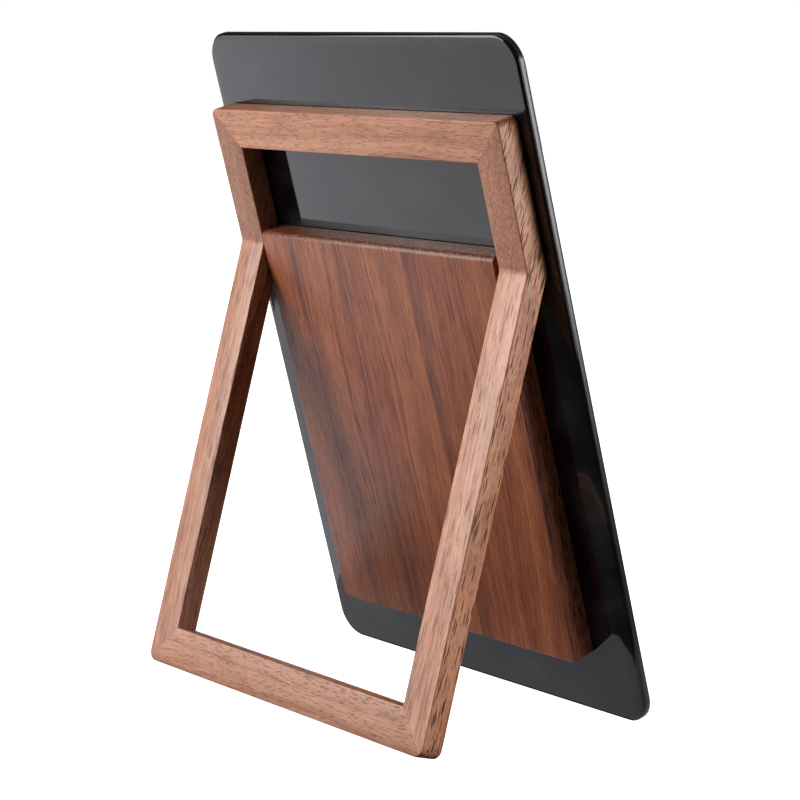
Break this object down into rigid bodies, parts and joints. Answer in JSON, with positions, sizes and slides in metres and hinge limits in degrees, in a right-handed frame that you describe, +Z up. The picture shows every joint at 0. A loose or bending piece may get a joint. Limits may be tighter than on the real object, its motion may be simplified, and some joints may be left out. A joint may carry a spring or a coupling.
{
  "type": "digital photo frame",
  "caption": "Thin portrait display plate with a glossy black back, a walnut electronics housing and a bent walnut kick stand that folds flat.",
  "frame": {"origin": "middle of the footprint, on the table: half way between the plate's bottom edge and the stand's foot, under the object", "axes": "+Z up, the screen faces -Y and leans back, the stand is on the +Y side, +X is the stand's left seen from the front's right: to the right of someone who looks at the screen"},
  "size_m": [0.2, 0.1132, 0.2687],
  "materials": {
    "stand_walnut": "oiled walnut, satin, open pores",
    "housing_walnut": "darker oiled walnut, satin",
    "black_gloss": "polished black acrylic",
    "rim_metal": "dark grey satin anodised",
    "cover_glass": "polished, with a printed black border",
    "display": "display cell",
    "light_guide": "white tray and diffuser",
    "board_green": "green circuit board laminate",
    "shield_tin": "tinned steel sheet",
    "steel": "plated steel",
    "brass": "turned brass",
    "black_plastic": "fine matt moulded black",
    "washer_nylon": "black nylon",
    "ribbon_film": "amber polyimide film",
    "tape_foam": "black foam tape",
    "dowel_beech": "plain beech"
  },
  "bodies": {
    "display": {"front_glass": "cover_glass", "lcd_panel": "display", "backlight_unit": "light_guide", "mid_frame": "rim_metal", "back_panel": "black_gloss", "lcd_ribbon": "ribbon_film", "housing": "housing_walnut", "housing_tape": "tape_foam", "main_board": "board_green", "processor_shield": "shield_tin", "ribbon_connector": "black_plastic", "usb_socket": "steel", "card_slot": "shield_tin", "button_switch": "shield_tin", "port_plate": "black_plastic", "speaker": "black_plastic", "speaker_lead": "black_plastic", "wifi_antenna": "board_green", "antenna_lead": "black_plastic", "standoff_1": "brass", "standoff_2": "brass", "standoff_3": "brass", "standoff_4": "brass", "board_screw_1": "steel", "board_screw_2": "steel", "board_screw_3": "steel", "board_screw_4": "steel", "hinge_pin_left": "steel", "hinge_pin_right": "steel", "wall_bush_left": "brass", "wall_bush_right": "brass", "friction_washer_left": "washer_nylon", "friction_washer_right": "washer_nylon", "pin_bracket_left": "steel", "pin_bracket_right": "steel", "bracket_screw_left": "steel", "bracket_screw_right": "steel"},
    "stand": {"side_bar_left": "stand_walnut", "side_bar_right": "stand_walnut", "top_rail": "stand_walnut", "bottom_rail": "stand_walnut", "bar_bush_left": "brass", "bar_bush_right": "brass", "corner_dowel_1": "dowel_beech", "corner_dowel_2": "dowel_beech", "corner_dowel_3": "dowel_beech", "corner_dowel_4": "dowel_beech"},
    "power_button": {"power_button": "black_plastic"}
  },
  "joints": [
    {"name": "stand_hinge", "type": "hinge", "parent": "display", "child": "stand", "pos_m": [0, 0.00694, 0.18046], "axis": [-1, 0, 0], "range_deg": [0, 31]},
    {"name": "button_press", "type": "slide", "parent": "display", "child": "power_button", "axis": [0, 0.2903, 0.9569], "range_m": [0, 0.0006], "stiffness_N_per_m": 600}
  ]
}
